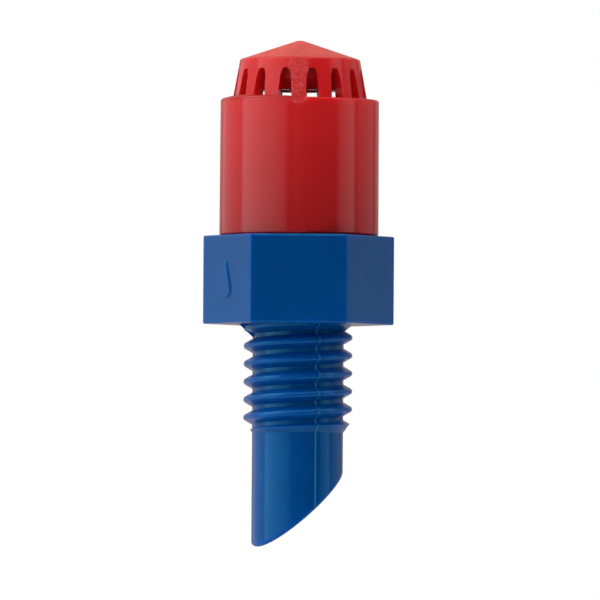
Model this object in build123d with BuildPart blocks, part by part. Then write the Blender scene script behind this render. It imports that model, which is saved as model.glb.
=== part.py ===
"""Threaded micro-irrigation emitter with a slotted screw cap, in millimetres.

The origin is on the axis at the underside of the hexagon, +Z points to the outlet
and -Y is the front. The stem below the origin screws into a 10-32 UNF hole, or
pierces a supply pipe. The cap above the hexagon runs on a coarse thread.
"""

import os
from math import acos, cos, pi, radians, sin, tan

from build123d import *

os.makedirs("parts", exist_ok=True)

# ---------------------------------------------------------------- driving dimensions
# hexagon
hex_height = 3.92
hex_across_flats = 7.35
hex_corner_radius = 0.09
hex_edge_radius = 0.08

# threaded stem, 10-32 UNF
thread_pitch = 25.4 / 32
thread_major_radius = 4.826 / 2
thread_depth = 0.393
thread_crest_flat = 0.17
thread_crest_bevel = 0.05
thread_flank_angle = 30.0
thread_full_length = 4.25
thread_fade_length = 0.55
thread_first_crest = -0.568  # height of the first crest below the hexagon, above +X
stem_wall = 0.77

# root of the stem
collar_margin = 0.01  # the collar covers the thread's outline, so a plate can seat on the hexagon
collar_height = 0.42
gusset_margin = 0.20
gusset_height = 0.66
gusset_thickness = 0.80

# slanted inlet tip
tip_length = 10.02  # from the hexagon to the corner of the slanted cut
tip_slope = 41.7
tip_turn = 23.6  # the cut rises toward +X, turned this far toward +Y
tip_round = 0.12

# spigot inside the cap
spigot_radius = 2.70
spigot_wall = 0.50
spigot_chamfer = 0.15
chamber_floor = 2.60

# coarse thread between spigot and cap
cap_pitch = 1.0
cap_tooth_depth = 0.22
cap_flank_angle = 32.5
cap_thread_clearance = 0.08  # from a crest to the wall opposite
cap_flank_clearance = 0.07  # between facing flanks, along the axis
cap_thread_start = 0.87  # from the hexagon to the spigot's lowest turn
cap_thread_end = 0.70  # from the spigot's highest turn to its top

# cap
cap_gap = 0.02
skirt_height = 6.02
skirt_top_wall = 0.515
skirt_bottom_wall = 0.53
shoulder_thickness = 0.55
cap_rim_round = 0.09
cap_shoulder_round = 0.10

# slotted cage on the cap
cage_step = 0.53
cage_taper = 0.32
cage_wall = 0.315
cage_height = 1.79
cage_top_round = 0.10
roof_slope = 18.5
roof_flat_radius = 0.12
roof_apex_round = 0.18
deflector_height = 0.26  # from the shoulder to the tip of the cone under the roof
deflector_slope = 20.0
deflector_flat_radius = 0.10
deflector_radius = 0.95  # where the cone meets the drip lip
lip_height = 0.40  # from the shoulder to the drip lip round the cone
lip_inner_radius = 1.25
lip_outer_radius = 1.70
lip_slope = 50.0

# slots in the cage
slot_count = 16
slot_share = 0.537  # of the cage's circumference
slot_shoulder_height = 0.98
slot_height = 1.32
slot_shoulder_narrowing = 0.78
slot_top_narrowing = 0.44
slot_inner_margin = 0.25
slot_turn = 280.85  # bearing of the middle of the first slot, from +X
slot_spread_left = 4.0  # most that a slot stands off its even spacing on the -X side, in degrees
slot_spread_right = 1.0  # the same on the +X side

# pieces inside the chamber
fit_clearance = 0.03
flange_thickness = 0.30
basket_clearance = 0.10
basket_wall = 0.25
basket_length = 4.10
basket_slot_count = 6
basket_slot_width = 0.35
basket_slot_length = 2.60
groove_count = 5
groove_depth = 0.40
groove_height = 0.40
notch_width = 0.60
pocket_wall = 0.20
pocket_depth = 0.60
diaphragm_play = 0.07
diaphragm_lift = 0.15
nozzle_recess = 0.30
nozzle_plate = 0.75
nozzle_snout_bottom = 0.95
nozzle_snout_top = 0.65
nozzle_snout_height = 0.60
orifice_radius = 0.35

# seal ring under the cap's inner shoulder
seal_height = 0.34
seal_inner_margin = 0.01
seal_side_clearance = 0.05
seal_round = 0.08

# raised drop-shaped mark on the left front face of the hexagon
mark_relief = 0.08
mark_draft = 35.0
mark_radius = 0.42
mark_length = 1.75
mark_bearing = 210.0

# ---------------------------------------------------------------- derived sizes
tooth_sink = 0.10  # how far a thread tooth is sunk into the wall that carries it
tooth_bearing = 40.0

stem_radius = thread_major_radius - thread_depth
inlet_bore_radius = stem_radius - stem_wall
thread_root_width = thread_crest_flat + 2 * thread_depth * tan(radians(thread_flank_angle))
thread_end = -thread_full_length - thread_fade_length
collar_radius = thread_major_radius + collar_margin
gusset_reach = collar_radius + gusset_margin

cap_bore_radius = spigot_radius + cap_tooth_depth + cap_thread_clearance
cap_top_radius = cap_bore_radius + skirt_top_wall
cap_bottom_radius = cap_bore_radius + skirt_bottom_wall
cap_bottom = hex_height + cap_gap
cap_shoulder = cap_bottom + skirt_height
cap_inner_shoulder = cap_shoulder - shoulder_thickness
cage_bottom_radius = cap_top_radius - cage_step
cage_top_radius = cage_bottom_radius - cage_taper
cage_bore_radius = cage_top_radius - cage_wall
cage_top = cap_shoulder + cage_height
roof_apex = cage_top + (cage_top_radius - roof_flat_radius) * tan(radians(roof_slope))
deflector_tip = cap_shoulder + deflector_height
deflector_top = deflector_tip + (deflector_radius - deflector_flat_radius) * tan(radians(deflector_slope))
lip_bottom = cap_shoulder + lip_height
lip_top = lip_bottom + (cage_bore_radius - lip_outer_radius) * tan(radians(lip_slope))

slot_top = cap_shoulder + slot_height
slot_shoulder = cap_shoulder + slot_shoulder_height
slot_inner_radius = cage_bore_radius - slot_inner_margin
slot_bottom_width = slot_share * 2 * pi * cage_bottom_radius / slot_count
slot_shoulder_width = slot_shoulder_narrowing * slot_bottom_width
slot_top_width = slot_top_narrowing * slot_bottom_width

seal_bottom = cap_inner_shoulder - fit_clearance - seal_height
seal_inner_radius = cage_bore_radius + seal_inner_margin
seal_outer_radius = cap_bore_radius - seal_side_clearance
spigot_top = seal_bottom - fit_clearance
chamber_radius = spigot_radius - spigot_wall
cap_thread_bottom = hex_height + cap_thread_start
spigot_thread_turns = (spigot_top - cap_thread_end - cap_thread_bottom) / cap_pitch
cap_thread_turns = spigot_thread_turns - 0.5  # begins half a turn higher and ends level
cap_flank_run = tan(radians(cap_flank_angle))
engaged_depth = cap_tooth_depth - cap_thread_clearance
cap_tooth_crest = cap_pitch / 2 - cap_flank_clearance - engaged_depth * cap_flank_run
cap_tooth_root = cap_tooth_crest + 2 * cap_tooth_depth * cap_flank_run

fitted_radius = chamber_radius - fit_clearance
basket_radius = inlet_bore_radius - basket_clearance
plug_bottom = chamber_floor + flange_thickness
snout_top = spigot_top - nozzle_recess
snout_bottom = snout_top - nozzle_snout_height
plug_top = snout_bottom - nozzle_plate
pocket_floor = plug_top - pocket_depth
pocket_radius = fitted_radius - pocket_wall
diaphragm_radius = pocket_radius - diaphragm_play
diaphragm_bottom = pocket_floor + fit_clearance
diaphragm_thickness = pocket_depth - fit_clearance - diaphragm_lift


def helical_tooth(
    root_radius, crest_radius, root_width, crest_width, pitch, crest_height, turns, bevel=0.0
):
    """A right-hand thread's tooth, trapezoidal in axial section, its crest bevelled if asked.

    Its crest is at crest_height over bearing 0. It begins at tooth_bearing, away from the
    seams of the walls that it joins, and its flanks run on into the wall that carries it.
    """
    start = crest_height + pitch * tooth_bearing / 360
    flank_slope = (root_width - crest_width) / 2 / abs(crest_radius - root_radius)
    sunk_radius = root_radius - tooth_sink if crest_radius > root_radius else root_radius + tooth_sink
    sunk_half_width = root_width / 2 + tooth_sink * flank_slope
    with BuildPart() as tooth:
        with BuildLine() as path:
            Helix(pitch, pitch * turns, root_radius, center=(0, 0, start))
        with BuildSketch(Plane.XZ) as section:
            with BuildLine():
                Polyline(
                    (sunk_radius, start - sunk_half_width),
                    (crest_radius, start - crest_width / 2),
                    (crest_radius, start + crest_width / 2),
                    (sunk_radius, start + sunk_half_width),
                    close=True,
                )
            make_face()
            if bevel:
                crest_corners = section.vertices().sort_by_distance((crest_radius, start))[:2]
                chamfer(crest_corners, length=bevel)
        sweep(path=path.wire(), is_frenet=True)
    return tooth.part.rotate(Axis.Z, tooth_bearing)


def disc(radius, bottom, top, mode=Mode.ADD):
    """A plain cylinder about the axis, added to or cut from the part being built."""
    with BuildSketch(Plane.XY.offset(bottom)) as outline:
        Circle(radius)
    extrude(outline.sketch, amount=top - bottom, mode=mode)


# ---------------------------------------------------------------- threaded stem
turns_below_first = 6  # the tooth starts below its run-out and ends in the hexagon
turns_above_first = 2
stem_tooth = helical_tooth(
    stem_radius,
    thread_major_radius,
    thread_root_width,
    thread_crest_flat,
    thread_pitch,
    thread_first_crest - turns_below_first * thread_pitch,
    turns_below_first + turns_above_first,
    bevel=thread_crest_bevel,
)

with BuildPart() as stem_thread:
    add(stem_tooth)
    # A ring with a conical inside takes off the lower end, so the tooth fades into the stem.
    fade_slope = thread_fade_length / thread_depth
    ring_radius = thread_major_radius + tooth_sink
    cone_radius = stem_radius - 3 * tooth_sink
    ring_bottom = thread_end - 3 * thread_pitch
    with BuildSketch(Plane.XZ):
        with BuildLine():
            Polyline(
                (ring_radius, -thread_full_length + tooth_sink * fade_slope),
                (cone_radius, thread_end - 3 * tooth_sink * fade_slope),
                (cone_radius, ring_bottom),
                (ring_radius, ring_bottom),
                close=True,
            )
        make_face()
    revolve(axis=Axis.Z, mode=Mode.SUBTRACT)

with BuildPart() as stem:
    # The side view, seen square to the slanted cut, gives the cut.
    cut_side = Plane(
        origin=(0, 0, 0),
        x_dir=(cos(radians(tip_turn)), sin(radians(tip_turn)), 0),
        z_dir=(sin(radians(tip_turn)), -cos(radians(tip_turn)), 0),
    )
    side_gap = 0.01
    left = -stem_radius - side_gap
    right = stem_radius + side_gap
    with BuildSketch(cut_side):
        with BuildLine():
            Polyline(
                (left, hex_height / 2),
                (left, -tip_length),
                (right, -tip_length + (right - left) * tan(radians(tip_slope))),
                (right, hex_height / 2),
                close=True,
            )
        make_face()
    extrude(amount=2 * stem_radius, both=True)
    disc(stem_radius, -tip_length, hex_height / 2, mode=Mode.INTERSECT)
    fillet(stem.edges().filter_by(GeomType.ELLIPSE), radius=tip_round)
    add(stem_thread.part)

# ---------------------------------------------------------------- base body
with BuildPart() as base_body:
    with BuildSketch():
        RegularPolygon(hex_across_flats / 2, 6, major_radius=False)
    extrude(amount=hex_height)
    fillet(base_body.edges().filter_by(Axis.Z), radius=hex_corner_radius)
    fillet(base_body.edges().group_by(Axis.Z)[0], radius=hex_edge_radius)
    fillet(base_body.edges().group_by(Axis.Z)[-1], radius=hex_edge_radius)

    add(stem.part)

    # chamfered collar and a gusset where the stem leaves the hexagon
    with BuildSketch(Plane.XZ):
        with BuildLine():
            Polyline(
                (stem_radius - tooth_sink, hex_edge_radius),
                (collar_radius, hex_edge_radius),
                (collar_radius, 0),
                (stem_radius - tooth_sink, -collar_height),
                close=True,
            )
        make_face()
    revolve(axis=Axis.Z)
    with BuildSketch(Plane.XZ):
        with BuildLine():
            Polyline(
                (-stem_radius + tooth_sink, hex_edge_radius),
                (-gusset_reach, hex_edge_radius),
                (-gusset_reach, 0),
                (-stem_radius + tooth_sink, -gusset_height),
                close=True,
            )
        make_face()
    extrude(amount=gusset_thickness / 2, both=True)

    # spigot with its coarse thread
    disc(spigot_radius, hex_height, spigot_top)
    chamfer(base_body.edges().group_by(Axis.Z)[-1], length=spigot_chamfer)
    add(
        helical_tooth(
            spigot_radius,
            spigot_radius + cap_tooth_depth,
            cap_tooth_root,
            cap_tooth_crest,
            cap_pitch,
            cap_thread_bottom,
            spigot_thread_turns,
        )
    )

    # water passage: inlet bore and chamber
    disc(inlet_bore_radius, -tip_length, chamber_floor, mode=Mode.SUBTRACT)
    disc(chamber_radius, chamber_floor, spigot_top, mode=Mode.SUBTRACT)

    # drop-shaped mark
    mark_plane = Plane(
        origin=(
            hex_across_flats / 2 * cos(radians(mark_bearing)),
            hex_across_flats / 2 * sin(radians(mark_bearing)),
            hex_height / 2,
        ),
        x_dir=(-sin(radians(mark_bearing)), cos(radians(mark_bearing)), 0),
        z_dir=(cos(radians(mark_bearing)), sin(radians(mark_bearing)), 0),
    )
    bulb_centre = mark_radius - mark_length / 2
    tangent_angle = acos(mark_radius / (mark_length - mark_radius))
    tangent_x = mark_radius * sin(tangent_angle)
    tangent_y = bulb_centre + mark_radius * cos(tangent_angle)
    with BuildSketch(mark_plane):
        with BuildLine():
            Polyline((tangent_x, tangent_y), (0, mark_length / 2), (-tangent_x, tangent_y))
            ThreePointArc((-tangent_x, tangent_y), (0, -mark_length / 2), (tangent_x, tangent_y))
        make_face()
    extrude(amount=mark_relief, taper=mark_draft)
base_body.part.label = "base_body"
export_step(base_body.part, "parts/base_body.step")

# ---------------------------------------------------------------- inlet strainer
with BuildPart() as inlet_strainer:
    basket_bottom = plug_bottom - basket_length
    disc(fitted_radius, chamber_floor, plug_bottom)
    disc(basket_radius, basket_bottom, chamber_floor)
    disc(basket_radius - basket_wall, basket_bottom + basket_wall, plug_bottom, mode=Mode.SUBTRACT)
    with BuildSketch(Plane.XY.offset(basket_bottom + basket_wall)):
        with PolarLocations(basket_radius, basket_slot_count):
            Rectangle(basket_radius, basket_slot_width)
    extrude(amount=basket_slot_length, mode=Mode.SUBTRACT)
inlet_strainer.part.label = "inlet_strainer"
export_step(inlet_strainer.part, "parts/inlet_strainer.step")

# ---------------------------------------------------------------- labyrinth plug
with BuildPart() as labyrinth_plug:
    groove_spacing = (pocket_floor - plug_bottom) / groove_count
    groove_middles = [plug_bottom + groove_spacing * (n + 0.5) for n in range(groove_count)]
    disc(fitted_radius, plug_bottom, plug_top)
    disc(pocket_radius, pocket_floor, plug_top, mode=Mode.SUBTRACT)
    for middle in groove_middles:
        with BuildSketch(Plane.XY.offset(middle - groove_height / 2)):
            Circle(chamber_radius)
            Circle(fitted_radius - groove_depth, mode=Mode.SUBTRACT)
        extrude(amount=groove_height, mode=Mode.SUBTRACT)
    # Notches on alternate sides join each groove to the next, from below to the pocket.
    notch_levels = [plug_bottom, *groove_middles, pocket_floor]
    side = 1
    for low, high in zip(notch_levels, notch_levels[1:]):
        notch_middle = side * (fitted_radius - groove_depth / 2)
        with BuildSketch(Plane.XY.offset(low)):
            with Locations((notch_middle, 0)):
                Rectangle(groove_depth, notch_width)
        extrude(amount=high - low, mode=Mode.SUBTRACT)
        side = -side
    # channel from the middle of the strainer to the first notch
    with BuildSketch(Plane.XY.offset(plug_bottom)):
        with Locations((fitted_radius / 2, 0)):
            SlotOverall(fitted_radius + notch_width, notch_width)
    extrude(amount=groove_height / 2, mode=Mode.SUBTRACT)
labyrinth_plug.part.label = "labyrinth_plug"
export_step(labyrinth_plug.part, "parts/labyrinth_plug.step")

# ---------------------------------------------------------------- flow diaphragm
with BuildPart() as flow_diaphragm:
    disc(diaphragm_radius, diaphragm_bottom, diaphragm_bottom + diaphragm_thickness)
    fillet(flow_diaphragm.edges(), radius=diaphragm_thickness / 5)
flow_diaphragm.part.label = "flow_diaphragm"
export_step(flow_diaphragm.part, "parts/flow_diaphragm.step")

# ---------------------------------------------------------------- outlet nozzle
with BuildPart() as outlet_nozzle:
    with BuildSketch(Plane.XZ):
        with BuildLine():
            Polyline(
                (orifice_radius, plug_top),
                (fitted_radius, plug_top),
                (fitted_radius, snout_bottom),
                (nozzle_snout_bottom, snout_bottom),
                (nozzle_snout_top, snout_top),
                (orifice_radius, snout_top),
                close=True,
            )
        make_face()
    revolve(axis=Axis.Z)
outlet_nozzle.part.label = "outlet_nozzle"
export_step(outlet_nozzle.part, "parts/outlet_nozzle.step")

# ---------------------------------------------------------------- seal ring
with BuildPart() as seal_ring:
    with BuildSketch(Plane.XY.offset(seal_bottom)):
        Circle(seal_outer_radius)
        Circle(seal_inner_radius, mode=Mode.SUBTRACT)
    extrude(amount=seal_height)
    fillet(seal_ring.edges(), radius=seal_round)
seal_ring.part.label = "seal_ring"
export_step(seal_ring.part, "parts/seal_ring.step")

# ---------------------------------------------------------------- outlet cap
with BuildPart() as outlet_cap:
    with BuildSketch(Plane.XZ) as cap_section:
        with BuildLine():
            Polyline(
                (0, deflector_tip),
                (deflector_flat_radius, deflector_tip),
                (deflector_radius, deflector_top),
                (lip_inner_radius, lip_bottom),
                (lip_outer_radius, lip_bottom),
                (cage_bore_radius, lip_top),
                (cage_bore_radius, cap_inner_shoulder),
                (cap_bore_radius, cap_inner_shoulder),
                (cap_bore_radius, cap_bottom),
                (cap_bottom_radius, cap_bottom),
                (cap_top_radius, cap_shoulder),
                (cage_bottom_radius, cap_shoulder),
                (cage_top_radius, cage_top),
                (roof_flat_radius, roof_apex),
                (0, roof_apex),
                close=True,
            )
        make_face()
        rounded = [
            (cap_bottom_radius, cap_bottom, cap_rim_round),
            (cap_top_radius, cap_shoulder, cap_shoulder_round),
            (cage_top_radius, cage_top, cage_top_round),
            (roof_flat_radius, roof_apex, roof_apex_round),
        ]
        for corner_radius, corner_height, rounding in rounded:
            corners = cap_section.vertices().sort_by_distance((corner_radius, corner_height))
            fillet(corners[0], radius=rounding)
    revolve(axis=Axis.Z)
    add(
        helical_tooth(
            cap_bore_radius,
            cap_bore_radius - cap_tooth_depth,
            cap_tooth_root,
            cap_tooth_crest,
            cap_pitch,
            cap_thread_bottom + cap_pitch / 2,
            cap_thread_turns,
        )
    )
    for number in range(slot_count):
        even_bearing = radians(slot_turn + number * 360 / slot_count)
        spread = slot_spread_right if cos(even_bearing) > 0 else slot_spread_left
        bearing = even_bearing - radians(spread) * sin(2 * even_bearing)
        slot_plane = Plane(
            origin=(slot_inner_radius * cos(bearing), slot_inner_radius * sin(bearing), 0),
            x_dir=(-sin(bearing), cos(bearing), 0),
            z_dir=(cos(bearing), sin(bearing), 0),
        )
        with BuildSketch(slot_plane) as slot:
            with BuildLine():
                Polyline(
                    (-slot_bottom_width / 2, cap_shoulder),
                    (slot_bottom_width / 2, cap_shoulder),
                    (slot_shoulder_width / 2, slot_shoulder),
                    (slot_top_width / 2, slot_top),
                    (-slot_top_width / 2, slot_top),
                    (-slot_shoulder_width / 2, slot_shoulder),
                    close=True,
                )
            make_face()
            fillet(slot.vertices().group_by(Axis.Y)[-2], radius=slot_shoulder_width / 2)
            fillet(slot.vertices().group_by(Axis.Y)[-1], radius=slot_top_width / 3)
        extrude(amount=cap_top_radius - slot_inner_radius, mode=Mode.SUBTRACT)
outlet_cap.part.label = "outlet_cap"
export_step(outlet_cap.part, "parts/outlet_cap.step")
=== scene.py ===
"""Studio view of a threaded drip emitter: materials, fine moulding detail, light and camera.

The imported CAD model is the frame. Lengths are in metres; the helper mm() turns the
millimetres of the drawing into metres.
"""
from math import cos, pi, radians, sin, tan

import bpy
from mathutils import Matrix, Vector


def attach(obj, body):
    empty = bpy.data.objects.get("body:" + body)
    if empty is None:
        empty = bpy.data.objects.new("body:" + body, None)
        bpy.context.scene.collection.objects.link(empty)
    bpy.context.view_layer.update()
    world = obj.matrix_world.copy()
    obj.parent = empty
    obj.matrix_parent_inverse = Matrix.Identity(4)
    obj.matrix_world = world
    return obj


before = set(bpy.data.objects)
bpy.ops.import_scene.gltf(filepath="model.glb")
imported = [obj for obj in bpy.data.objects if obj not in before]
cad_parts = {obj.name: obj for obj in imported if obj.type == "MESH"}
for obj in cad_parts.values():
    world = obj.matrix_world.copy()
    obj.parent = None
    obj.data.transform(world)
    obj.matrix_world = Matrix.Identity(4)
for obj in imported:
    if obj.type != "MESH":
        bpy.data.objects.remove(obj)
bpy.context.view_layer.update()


def mm(length):
    return length / 1000


# ---------------------------------------------------------------- materials
def node_material(name):
    """An empty node material: its tree, its Principled shader and its object coordinates."""
    material = bpy.data.materials.new(name)
    material.use_nodes = True
    tree = material.node_tree
    shader = tree.nodes["Principled BSDF"]
    place = tree.nodes.new("ShaderNodeTexCoord").outputs["Object"]
    return material, tree, shader, place


def scaled(tree, place, scale):
    """The coordinates place, scaled along each axis."""
    mapping = tree.nodes.new("ShaderNodeMapping")
    mapping.inputs["Scale"].default_value = scale
    tree.links.new(place, mapping.inputs["Vector"])
    return mapping.outputs["Vector"]


def noise(tree, place, scale, detail=3.0, roughness=0.5):
    """Fractal noise, from 0 to 1."""
    texture = tree.nodes.new("ShaderNodeTexNoise")
    texture.inputs["Scale"].default_value = scale
    texture.inputs["Detail"].default_value = detail
    texture.inputs["Roughness"].default_value = roughness
    tree.links.new(place, texture.inputs["Vector"])
    return texture.outputs["Fac"]


def remap(tree, value, low, high, to_low, to_high):
    """value from low..high to to_low..to_high, held at the ends."""
    ranger = tree.nodes.new("ShaderNodeMapRange")
    ranger.inputs["From Min"].default_value = low
    ranger.inputs["From Max"].default_value = high
    ranger.inputs["To Min"].default_value = to_low
    ranger.inputs["To Max"].default_value = to_high
    tree.links.new(value, ranger.inputs["Value"])
    return ranger.outputs["Result"]


def mix_colours(tree, factor, first, second):
    """first where factor is 0, second where it is 1. A colour is a tuple or a socket."""
    mixer = tree.nodes.new("ShaderNodeMix")
    mixer.data_type = "RGBA"
    tree.links.new(factor, mixer.inputs["Factor"])
    for socket, colour in ((mixer.inputs[6], first), (mixer.inputs[7], second)):
        if isinstance(colour, tuple):
            socket.default_value = (*colour, 1)
        else:
            tree.links.new(colour, socket)
    return mixer.outputs[2]


def mix_values(tree, factor, first, second):
    """The socket first where factor is 0, the number second where it is 1."""
    mixer = tree.nodes.new("ShaderNodeMix")
    tree.links.new(factor, mixer.inputs["Factor"])
    tree.links.new(first, mixer.inputs[2])
    mixer.inputs[3].default_value = second
    return mixer.outputs[0]


def bump(tree, height, distance, strength=1.0, below=None):
    """A bump normal of that depth in metres, laid over the normal below."""
    bumper = tree.nodes.new("ShaderNodeBump")
    bumper.inputs["Strength"].default_value = strength
    bumper.inputs["Distance"].default_value = distance
    tree.links.new(height, bumper.inputs["Height"])
    if below is not None:
        tree.links.new(below, bumper.inputs["Normal"])
    return bumper.outputs["Normal"]


def along(tree, place, axis):
    """One coordinate of place, axis being X, Y or Z."""
    splitter = tree.nodes.new("ShaderNodeSeparateXYZ")
    tree.links.new(place, splitter.inputs["Vector"])
    return splitter.outputs[axis]


def times(tree, first, second):
    """The product of two sockets."""
    multiplier = tree.nodes.new("ShaderNodeMath")
    multiplier.operation = "MULTIPLY"
    tree.links.new(first, multiplier.inputs[0])
    tree.links.new(second, multiplier.inputs[1])
    return multiplier.outputs["Value"]


def moulded_plastic(name, low, high, heights, roughness, tint, translucence, glow, depth):
    """Glossy moulded plastic, coloured low to high between two heights; this change with height is
    painted light and shade.

    It has fine drag lines and faint flow marks, and light seeps through it to the depth,
    in metres, times the glow of each colour. Returns the material and its last normal.
    """
    material, tree, shader, place = node_material(name)
    # the colour change with height is painted light and shade, not a change in the plastic
    painted_shading_by_height = remap(tree, along(tree, place, "Z"), mm(heights[0]), mm(heights[1]), 0, 1)
    clouds = noise(tree, place, 500, detail=4)
    body = mix_colours(tree, painted_shading_by_height, low, high)
    darker = mix_colours(tree, painted_shading_by_height, *(tuple(0.93 * part for part in colour) for colour in (low, high)))
    body = mix_colours(tree, remap(tree, clouds, 0.3, 0.7, 0, 1), darker, body)
    tree.links.new(body, shader.inputs["Base Color"])
    # drag lines run round the part, so the noise is squeezed along the axis
    lines = noise(tree, scaled(tree, place, (300, 300, 14000)), 1, detail=3, roughness=0.6)
    grain = noise(tree, place, 14000, detail=2)
    rough = remap(tree, grain, 0.3, 0.7, roughness - 0.02, roughness + 0.04)
    tree.links.new(rough, shader.inputs["Roughness"])
    swells = noise(tree, place, 700, detail=1)
    normal = bump(tree, swells, mm(0.003))
    normal = bump(tree, lines, mm(0.0006), below=normal)
    normal = bump(tree, grain, mm(0.0002), below=normal)
    tree.links.new(normal, shader.inputs["Normal"])
    shader.inputs["IOR"].default_value = 1.5
    shader.inputs["Specular Tint"].default_value = (*tint, 1)
    shader.inputs["Subsurface Weight"].default_value = translucence
    shader.inputs["Subsurface Radius"].default_value = glow
    shader.inputs["Subsurface Scale"].default_value = depth
    return material, normal


def rough_seam(material, normal, middle, half_width, bottom, depth):
    """Roughens the front of a part in a band along its mould seam.

    The band is half_width to each side of middle, along X, and is deepest above bottom.
    """
    tree = material.node_tree
    shader = tree.nodes["Principled BSDF"]
    place = tree.nodes.new("ShaderNodeTexCoord").outputs["Object"]
    across = along(tree, place, "X")
    left = remap(tree, across, middle - half_width, middle, 0, 1)
    right = remap(tree, across, middle, middle + half_width, 1, 0)
    front = remap(tree, along(tree, place, "Y"), mm(-1), 0, 1, 0)
    high = remap(tree, along(tree, place, "Z"), bottom - mm(0.3), bottom, 0.05, 1)
    band = times(tree, times(tree, left, right), times(tree, front, high))
    # the noise runs either side of zero, so that the band is rough and not raised
    ticks = noise(tree, scaled(tree, place, (5000, 5000, 7000)), 1, detail=3, roughness=0.7)
    ticks = remap(tree, ticks, 0, 1, -0.5, 0.5)
    seam = bump(tree, times(tree, ticks, band), depth, below=normal)
    tree.links.new(seam, shader.inputs["Normal"])


def matt_roof_with_painted_highlight(material, bottom, top, colour, roughness):
    """Makes a part more matt between two heights, and paints pale highlight patches on it there."""
    tree = material.node_tree
    shader = tree.nodes["Principled BSDF"]
    place = tree.nodes.new("ShaderNodeTexCoord").outputs["Object"]
    high = remap(tree, along(tree, place, "Z"), bottom, top, 0, 1)
    patches = remap(tree, noise(tree, place, 3000, detail=4, roughness=0.7), 0.35, 0.65, 0.35, 1)
    # pale patches painted on the roof: painted highlight bands
    roof_painted_highlight = times(tree, high, patches)
    plain_colour = shader.inputs["Base Color"].links[0].from_socket
    tree.links.new(mix_colours(tree, roof_painted_highlight, plain_colour, colour), shader.inputs["Base Color"])
    plain_rough = shader.inputs["Roughness"].links[0].from_socket
    tree.links.new(mix_values(tree, high, plain_rough, roughness), shader.inputs["Roughness"])


def soft_rubber(name, colour, roughness):
    """Plain inner rubber or nylon with a fine matt grain."""
    material, tree, shader, place = node_material(name)
    grain = noise(tree, place, 6000, detail=4)
    darker = tuple(0.8 * part for part in colour)
    tree.links.new(mix_colours(tree, grain, darker, colour), shader.inputs["Base Color"])
    tree.links.new(bump(tree, grain, mm(0.004)), shader.inputs["Normal"])
    shader.inputs["Roughness"].default_value = roughness
    return material


# low and high paint the red cap darker towards the bottom and lighter towards the top: painted shade
# near the hexagon, painted light seeping through the top
red_plastic, red_normal = moulded_plastic(
    "red_plastic",
    low=(0.39, 0.009, 0.012),
    high=(0.74, 0.015, 0.019),
    heights=(3.5, 10.5),
    roughness=0.14,
    tint=(1.0, 1.0, 1.0),
    translucence=0.6,
    glow=(1.0, 0.10, 0.08),
    depth=mm(0.8),
)
rough_seam(red_plastic, red_normal, mm(-0.10), mm(0.50), bottom=mm(10.0), depth=mm(0.25))
# the cap's roof turns more matt and gets pale painted highlight bands in patches
matt_roof_with_painted_highlight(red_plastic, mm(11.70), mm(11.85), colour=(0.90, 0.16, 0.13), roughness=0.45)
# low and high paint the blue body lighter towards the bottom: painted light from below
blue_plastic, _ = moulded_plastic(
    "blue_plastic",
    low=(0.0, 0.083, 0.335),
    high=(0.0, 0.073, 0.295),
    heights=(-1.0, 4.0),
    roughness=0.14,
    tint=(0.2, 0.85, 1.0),
    translucence=0.8,
    glow=(0.05, 0.5, 1.0),
    depth=mm(1.4),
)
# seams and flash are coloured a lighter blue than the body: partly pale flash plastic, partly painted
# highlight and glow
seam_plastic, _ = moulded_plastic(
    "seam_plastic",
    low=(0.0, 0.13, 0.42),
    high=(0.0, 0.13, 0.42),
    heights=(-1.0, 4.0),
    roughness=0.2,
    tint=(0.4, 0.9, 1.0),
    translucence=0.0,
    glow=(0.05, 0.5, 1.0),
    depth=mm(1.4),
)
white_plastic = soft_rubber("white_plastic", (0.78, 0.78, 0.75), 0.45)
black_plastic = soft_rubber("black_plastic", (0.025, 0.025, 0.027), 0.45)
silicone = soft_rubber("silicone", (0.72, 0.68, 0.6), 0.55)
seal_rubber = soft_rubber("seal_rubber", (0.02, 0.02, 0.021), 0.6)

node_materials = {
    "base_body": blue_plastic,
    "inlet_strainer": white_plastic,
    "labyrinth_plug": black_plastic,
    "flow_diaphragm": silicone,
    "outlet_nozzle": white_plastic,
    "seal_ring": seal_rubber,
    "outlet_cap": red_plastic,
}
for node, material in node_materials.items():
    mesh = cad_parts[node].data
    mesh.materials.clear()
    mesh.materials.append(material)


# ---------------------------------------------------------------- moulding marks
def ridge(name, body, material, path, outward, along_width, height, sink, smooth=False):
    """A thin ridge laid on a surface, closed all round.

    path is its line on the surface, and outward and along_width give, for each of its points,
    the way out of the surface and the way across the ridge. height is a number for each point.
    """
    points = []
    for point, out, across, rise in zip(path, outward, along_width, height):
        points += [point + across - out * sink, point + out * rise, point - across - out * sink]
        points.append(point - out * (4 * sink))
    faces = [(3, 2, 1, 0), tuple(len(points) - 4 + corner for corner in range(4))]
    for start in range(0, len(points) - 4, 4):
        for corner in range(4):
            after = (corner + 1) % 4
            faces.append((start + corner, start + after, start + 4 + after, start + 4 + corner))
    mesh = bpy.data.meshes.new(name)
    mesh.from_pydata([tuple(point) for point in points], [], faces)
    mesh.polygons.foreach_set("use_smooth", [smooth] * len(faces))
    mesh.materials.append(material)
    piece = bpy.data.objects.new(name, mesh)
    bpy.context.scene.collection.objects.link(piece)
    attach(piece, body)


def ripple(place, seed):
    """A small uneven wave between -1 and 1, the same on every run."""
    return (sin(2.3 * place + seed) + sin(5.9 * place + 2 * seed) + sin(13.1 * place + 3 * seed)) / 3


stem_radius = 2.02
thread_radius = 2.413
thread_pitch = 25.4 / 32
first_crest = -0.568
crest_half_width = 0.085
flank_run = tan(radians(30))
thread_bottom = -4.25
fade_run = 0.55 / (thread_radius - stem_radius)
collar_radius = 2.423
collar_height = 0.42


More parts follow.
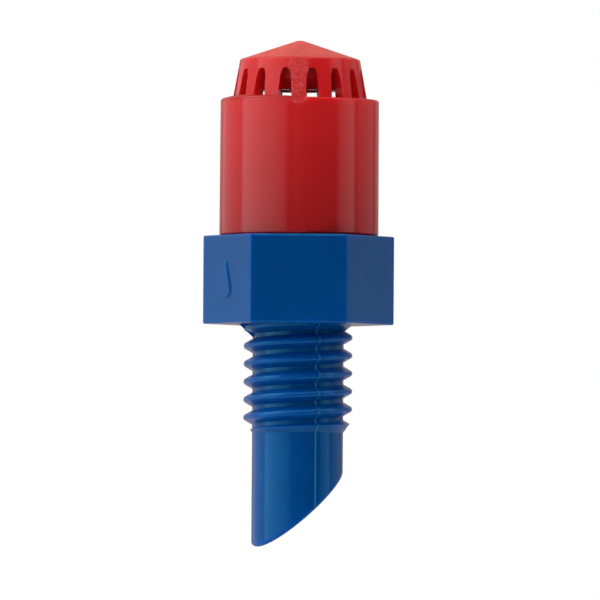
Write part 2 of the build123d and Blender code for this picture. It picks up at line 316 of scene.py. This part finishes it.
def stem_surface(z, bearing):
    """The stem's radius at a height z in millimetres, over a bearing in degrees from +X."""
    crest = first_crest + thread_pitch * bearing / 360
    off_crest = abs((z - crest + thread_pitch / 2) % thread_pitch - thread_pitch / 2)
    tooth = thread_radius - max(0, off_crest - crest_half_width) / flank_run
    faded = thread_radius - max(0, thread_bottom - z) / fade_run
    collar = collar_radius + z * (collar_radius - stem_radius + 0.1) / collar_height
    return max(stem_radius, min(tooth, faded), collar)


def stem_seam(name, bearing, bottom):
    """The parting line that the mould's halves left along the stem, over every thread."""
    step = 0.02
    count = int(-bottom / step)
    path, outward, across, height = [], [], [], []
    for number in range(count + 1):
        z = bottom - bottom * number / count
        wander = 0.5 * sin(2 * pi * z / thread_pitch) + 0.3 * ripple(4 * z, bearing)
        if z < thread_bottom - 0.6:
            wander = 0
        turn = radians(bearing + wander)
        out = Vector((cos(turn), sin(turn), 0))
        path.append(out * mm(stem_surface(z, bearing + wander)) + Vector((0, 0, mm(z))))
        outward.append(out)
        across.append(Vector((-sin(turn), cos(turn), 0)) * mm(0.055))
        height.append(mm(0.04 + 0.012 * ripple(9 * z, bearing)))
    ridge(name, "base", seam_plastic, path, outward, across, height, mm(0.01))


stem_seam("stem_seam_front", 293.5, -8.08)
stem_seam("stem_seam_back", 113.5, -8.08)

# flash along the top edge of the front flat
front_flat = -mm(7.35 / 2)
hex_top = mm(3.92)
flash_half_length = 1.75
edge_points = 120
edge_path, edge_height = [], []
for number in range(edge_points + 1):
    x = flash_half_length * (2 * number / edge_points - 1)
    edge_path.append(Vector((mm(x), front_flat + mm(0.02), hex_top - mm(0.03))))
    edge_height.append(mm(0.03 + 0.02 * ripple(6 * x, 1.0)))
ridge(
    "hexagon_edge_flash", "base", seam_plastic, edge_path,
    [Vector((0, -0.7, 0.7))] * len(edge_path), [Vector((0, 0.7, 0.7)) * mm(0.04)] * len(edge_path),
    edge_height, mm(0.01),
)

# the left half of the mould stood a little higher, so the shoulder has a step and a lump
rim_half_width = 0.13
rim_radius = 3.515 - rim_half_width
shoulder_height = 9.96
lump_bearing = radians(222)
rim_points = 90
rim_path, rim_out, rim_across, rim_height = [], [], [], []
for number in range(rim_points + 1):
    turn = radians(150 + 120 * number / rim_points)
    ends = min(1, number / 4, (rim_points - number) / 8)
    off_lump = turn - lump_bearing
    lump = max(0, cos(2.2 * off_lump)) ** 3 if abs(off_lump) < 0.7 else 0
    out = Vector((cos(turn), sin(turn), 0))
    rim_path.append(out * mm(rim_radius) + Vector((0, 0, mm(shoulder_height))))
    rim_out.append(Vector((0, 0, 1)))
    rim_across.append(out * mm(rim_half_width))
    rim_height.append(mm(ends * (0.055 + 0.06 * lump + 0.008 * ripple(9 * turn, 2.0))))
ridge(
    "shoulder_step", "cap", red_plastic, rim_path, rim_out, rim_across, rim_height, mm(0.02),
    smooth=True,
)

# ---------------------------------------------------------------- light and stage
object_middle = Vector((0, 0, mm(1.4)))


def direction(bearing, rise):
    """The unit vector from the object, bearing degrees to the right of the front."""
    flat = cos(radians(rise))
    return Vector((flat * sin(radians(bearing)), -flat * cos(radians(bearing)), sin(radians(rise))))


def softbox(
    name, bearing, rise, distance, width, height, left_radiance, right_radiance, colour=(1, 1, 1)
):
    """A rectangular lamp that faces the object, with its brightness running from left to right."""
    lamp = bpy.data.lights.new(name, "AREA")
    lamp.shape = "RECTANGLE"
    lamp.size = width
    lamp.size_y = height
    lamp.energy = width * height * pi
    lamp.color = colour
    lamp.use_nodes = True
    tree = lamp.node_tree
    spot = tree.nodes.new("ShaderNodeNewGeometry").outputs["Parametric"]
    brightness = remap(tree, along(tree, spot, "X"), 0, 1, left_radiance, right_radiance)
    tree.links.new(brightness, tree.nodes["Emission"].inputs["Strength"])
    holder = bpy.data.objects.new(name, lamp)
    toward = direction(bearing, rise)
    holder.location = object_middle + toward * distance
    holder.rotation_euler = toward.to_track_quat("Z", "Y").to_euler()
    bpy.context.scene.collection.objects.link(holder)


softbox("left_softbox", -55, 5, 0.30, 0.44, 0.60, 1.8, 0.35)
softbox("right_strip", 73, 0, 0.30, 0.158, 0.60, 0.35, 0.95)
softbox("left_wall", -120, 0, 0.30, 0.30, 0.60, 0.55, 0.55)
softbox("right_wall", 115, 0, 0.30, 0.24, 0.60, 0.30, 0.30)
softbox("front_light", -1.5, 23, 0.30, 0.055, 0.08, 8.0, 8.0)
softbox("top_light", 0, 78, 0.30, 0.20, 0.20, 1.5, 1.5)
softbox("back_light", 180, 10, 0.40, 0.60, 0.60, 0.32, 0.32, colour=(1.0, 0.78, 0.68))
softbox("left_high", -75, 50, 0.30, 0.20, 0.20, 2.0, 2.0)
softbox("right_high", 75, 50, 0.30, 0.20, 0.20, 1.5, 1.5, colour=(1.0, 0.55, 0.45))

world = bpy.data.worlds.new("studio")
world.use_nodes = True
bpy.context.scene.world = world
world_tree = world.node_tree
background = world_tree.nodes["Background"]
ray = world_tree.nodes.new("ShaderNodeLightPath").outputs["Is Camera Ray"]
world_tree.links.new(
    mix_colours(world_tree, ray, (0.08, 0.08, 0.08), (1.0, 1.0, 1.0)), background.inputs["Color"]
)

floor_size = 3.0
floor_mesh = bpy.data.meshes.new("floor")
half = floor_size / 2
corners = [(-half, -half, 0), (half, -half, 0), (half, half, 0), (-half, half, 0)]
floor_mesh.from_pydata(corners, [], [(0, 1, 2, 3)])
floor = bpy.data.objects.new("floor", floor_mesh)
floor.location.z = mm(-45)
bpy.context.scene.collection.objects.link(floor)
floor_material, _, floor_shader, _ = node_material("floor")
floor_shader.inputs["Base Color"].default_value = (0.8, 0.8, 0.8, 1)
floor_shader.inputs["Roughness"].default_value = 0.8
floor_mesh.materials.append(floor_material)

# ---------------------------------------------------------------- camera
picture_width = 600
metres_per_pixel = mm(0.04436)
camera_distance = 0.40
look_up = radians(1.5)
roll = radians(0.40)
picture_middle = Vector((mm(0.07), 0, mm(1.09)))

camera = bpy.data.cameras.new("camera")
camera.sensor_width = 36
camera.lens = camera.sensor_width * camera_distance / (picture_width * metres_per_pixel)
camera.clip_start = 0.01
camera.clip_end = 10
viewer = bpy.data.objects.new("camera", camera)
toward_camera = Vector((0, -cos(look_up), -sin(look_up)))
viewer.location = picture_middle + toward_camera * camera_distance
facing = toward_camera.to_track_quat("Z", "Y").to_matrix().to_4x4()
viewer.rotation_euler = (facing @ Matrix.Rotation(roll, 4, "Z")).to_euler()
bpy.context.scene.collection.objects.link(viewer)
bpy.context.scene.camera = viewer
bpy.context.scene.view_settings.view_transform = "Standard"
